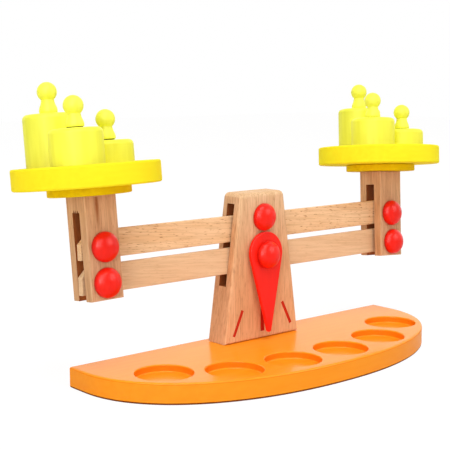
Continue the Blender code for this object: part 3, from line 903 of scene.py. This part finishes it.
def make_tray(side, own, body_place):
    """A turned tray with a rounded rim. The wall of its hollow is painted darker: painted shade."""
    inside, flat = tray_radius - tray_rim, tray_radius - tray_ease
    profile = [(0, tray_floor)] + arc(inside - tray_cove, tray_floor + tray_cove, tray_cove, -90, 0, 4)
    profile += arc(inside + tray_crest, tray_height - tray_crest, tray_crest, 180, 90, 3)
    profile += arc(flat, tray_height - tray_ease, tray_ease, 90, 0, 5)
    profile += arc(flat, tray_ease, tray_ease, 0, -90, 5) + [(0, 0)]
    bm = bmesh.new()
    spun(bm, profile, tray_steps)
    # The hollow's wall gets the darker yellow: painted shade.
    for face in bm.faces:
        x, y, z = face.calc_center_median()
        if tray_floor + gap < z < tray_height - gap and math.hypot(x, y) < inside + tray_crest:
            face.material_index = 1
    place = moved(body_place, tray_offset, 0, upright_top + disc_thickness + gap)
    name, body = side + "_tray", side + "_upright"
    lacquers = (tray_yellow(place, own["tray_yellow"]), tray_hollow_shade_yellow(place))
    finished(bm, side + "_rimmed_tray", place, body, [name], "tray_yellow", *lacquers)


def make_weight(name, place, height, colours):
    """A turned cylinder with a rounded shoulder."""
    flat = weight_radius - weight_shoulder
    profile = [(0, height)] + arc(flat, height - weight_shoulder, weight_shoulder, 90, 0, 6)
    profile += arc(weight_radius - weight_ease, weight_ease, weight_ease, 0, -90, 3) + [(0, 0)]
    bm = bmesh.new()
    spun(bm, profile, disc_steps)
    finished(bm, name + "_body", place, name, [name], "yellow_stain", yellow_stain(name, place, colours))


def make_knob(name, place, joint):
    """A ball on a waisted neck that flares to a foot, glued on over a narrow joint."""
    below = math.degrees(math.asin(neck_radius / ball_radius))
    ball = arc(0, ball_height, ball_radius - gap / 6, 90, below - 90, 18)
    foot = [(knob_foot_radius, gap + joint), (joint_radius, gap + joint), (joint_radius, gap), (0, gap)]
    bm = bmesh.new()
    spun(bm, [*ball, *knob_neck, *foot], knob_steps)
    # The narrow joint's faces are painted dark brown: painted shade in the gap.
    for face in bm.faces:
        if face.calc_center_median().z < gap + joint - gap / 10:
            face.material_index = 1
    stains = (yellow_stain(name + "_knob", place, knob_yellow), joint_shade_line(name))
    finished(bm, name + "_turned_knob", place, name, [name + "_knob"], "yellow_stain", *stains)


def make_weights(side, own, body_place):
    """The three weights on a tray. The tall one's knob sits tight and shows no joint, and its stain is a
    darker copy: painted shade.
    """
    floor = upright_top + disc_thickness + gap + tray_floor + gap
    for size, (across, along, height) in own["weights"].items():
        name = f"{side}_{size}_weight"
        place = moved(body_place, across, along, floor)
        tall = size == "tall"
        make_weight(name, place, height, shaded_tall_weight_yellow if tall else weight_yellow)
        make_knob(name, moved(place, 0, 0, height), 0 if tall else joint_height)


def make_camera():
    """The camera, where the photograph was taken from."""
    lens = bpy.data.cameras.new("viewpoint")
    lens.lens = lens_length
    lens.shift_x, lens.shift_y = lens_shift
    camera = bpy.data.objects.new("viewpoint", lens)
    bpy.context.scene.collection.objects.link(camera)
    camera.location = camera_place
    camera.rotation_euler = [math.radians(angle) for angle in camera_turn]
    bpy.context.scene.camera = camera


def make_lamp(name, spot, size, power, mirrored_only):
    """A soft square lamp, turned to the object. One may show in its glossy surfaces alone."""
    light = bpy.data.lights.new(name, "AREA")
    light.size = size
    light.energy = power
    lamp = bpy.data.objects.new(name, light)
    bpy.context.scene.collection.objects.link(lamp)
    lamp.location = spot
    lamp.rotation_euler = (Vector(spot) - Vector((0, 0, 0.1))).to_track_quat("Z", "Y").to_euler()
    lamp.visible_diffuse = not mirrored_only


def make_world():
    """A white room round the object. Glossy surfaces mirror its bright backdrop and dim front."""
    world = bpy.data.worlds.new("white_room")
    bpy.context.scene.world = world
    world.use_nodes = True
    tree = world.node_tree
    tree.nodes.clear()
    way = {0: add(tree, "TexCoord").outputs["Generated"], 1: backdrop_way}
    behind = add(tree, "VectorMath", way, operation="DOT_PRODUCT").outputs["Value"]
    spread = {"Value": behind, "From Min": -0.1, "From Max": 0.5}
    spread.update({"To Min": front_mirrored, "To Max": back_mirrored})
    mirrored = add(tree, "MapRange", spread).outputs["Result"]
    path = add(tree, "LightPath").outputs
    strength = room_light
    for ray, level in (("Is Camera Ray", 1), ("Is Transmission Ray", 1), ("Is Glossy Ray", mirrored)):
        more = add(tree, "Math", {0: level, 1: room_light}, operation="SUBTRACT").outputs[0]
        terms = {0: path[ray], 1: more, 2: strength}
        strength = add(tree, "Math", terms, operation="MULTIPLY_ADD").outputs[0]
    white = add(tree, "Background", {"Color": (1, 1, 1, 1), "Strength": strength})
    add(tree, "OutputWorld", {"Surface": white.outputs[0]})


def white_sweep():
    """Matt white paper that glows where the camera sees it, and is clear from below."""
    material = bpy.data.materials.new("white_sweep")
    material.use_nodes = True
    tree = material.node_tree
    tree.nodes.clear()
    path = add(tree, "LightPath").outputs
    seen = {0: path["Is Camera Ray"], 1: path["Is Transmission Ray"]}
    seen = add(tree, "Math", seen, operation="MAXIMUM").outputs[0]
    share = add(tree, "Math", {0: seen, 1: paper_glow}, operation="MULTIPLY").outputs[0]
    paper = add(tree, "BsdfDiffuse", {"Color": linear("#DDDBDA")}).outputs[0]
    glow = add(tree, "Emission", {"Color": (1, 1, 1, 1), "Strength": paper_shine}).outputs[0]
    both = add(tree, "MixShader", {0: share, 1: paper, 2: glow}).outputs[0]
    below = add(tree, "NewGeometry").outputs["Backfacing"]
    clear = add(tree, "BsdfTransparent").outputs[0]
    sheet = add(tree, "MixShader", {0: below, 1: both, 2: clear}).outputs[0]
    add(tree, "OutputMaterial", {"Surface": sheet})
    return material


def make_floor():
    """A white sweep that takes the object's soft shadow, open under the board."""
    bm = bmesh.new()
    far, middle = floor_reach, post_setback - base_depth / 2
    narrower, shorter = 1 - 2 * floor_hole_inset / base_width, 1 - 2 * floor_hole_inset / base_depth
    edges = ring(bm, [(-far, -far), (far, -far), (far, far), (-far, far)], 0)
    hole = [(x * narrower, middle + (z - middle) * shorter) for x, z in base_outline()]
    filled(bm, edges + ring(bm, hole, 0))
    flat = Matrix.Scale(MM, 4) @ Matrix.Rotation(-RIGHT_ANGLE, 4, "X")
    bmesh.ops.transform(bm, matrix=flat, verts=bm.verts)
    for face in bm.faces:
        face.normal_update()
        if face.normal.z < 0:
            face.normal_flip()
    mesh = bpy.data.meshes.new("floor")
    bm.to_mesh(mesh)
    bm.free()
    floor = bpy.data.objects.new("floor", mesh)
    bpy.context.scene.collection.objects.link(floor)
    mesh.materials.append(white_sweep())


# The room, the lamps and the camera
bpy.context.scene.view_settings.view_transform = "Standard"
make_camera()
make_world()
make_floor()
for lamp in lamps:
    make_lamp(*lamp)

# The stand, the beams and the pointer
make_base()
make_screws()
make_post()
make_beams()
upper_dowel = moved(world_place, 0, 0, upper_pivot_height)
make_capped_dowel("upper_centre", upper_dowel, "base", post_depth / 2, post_depth / 2)
make_capped_dowel("lower_centre", lower_pivot, "lower_beam", pointer_gap + pointer_thickness, rear_reach)
make_pointer()

# The uprights with their trays and weights
for side, own in sides.items():
    pins, body_place = upright_places(own)
    make_upright(side, own, body_place)
    lower_pin = moved(pins, 0, 0, -end_pivot_spacing / math.cos(upright_lean))
    for level, spot in (("upper", pins), ("lower", lower_pin)):
        half = upright_depth / 2
        make_capped_dowel(f"{side}_{level}", spot, side + "_upright", half, half)
    make_peg(side, body_place)
    make_disc(side, own, body_place)
    make_tray(side, own, body_place)
    make_weights(side, own, body_place)
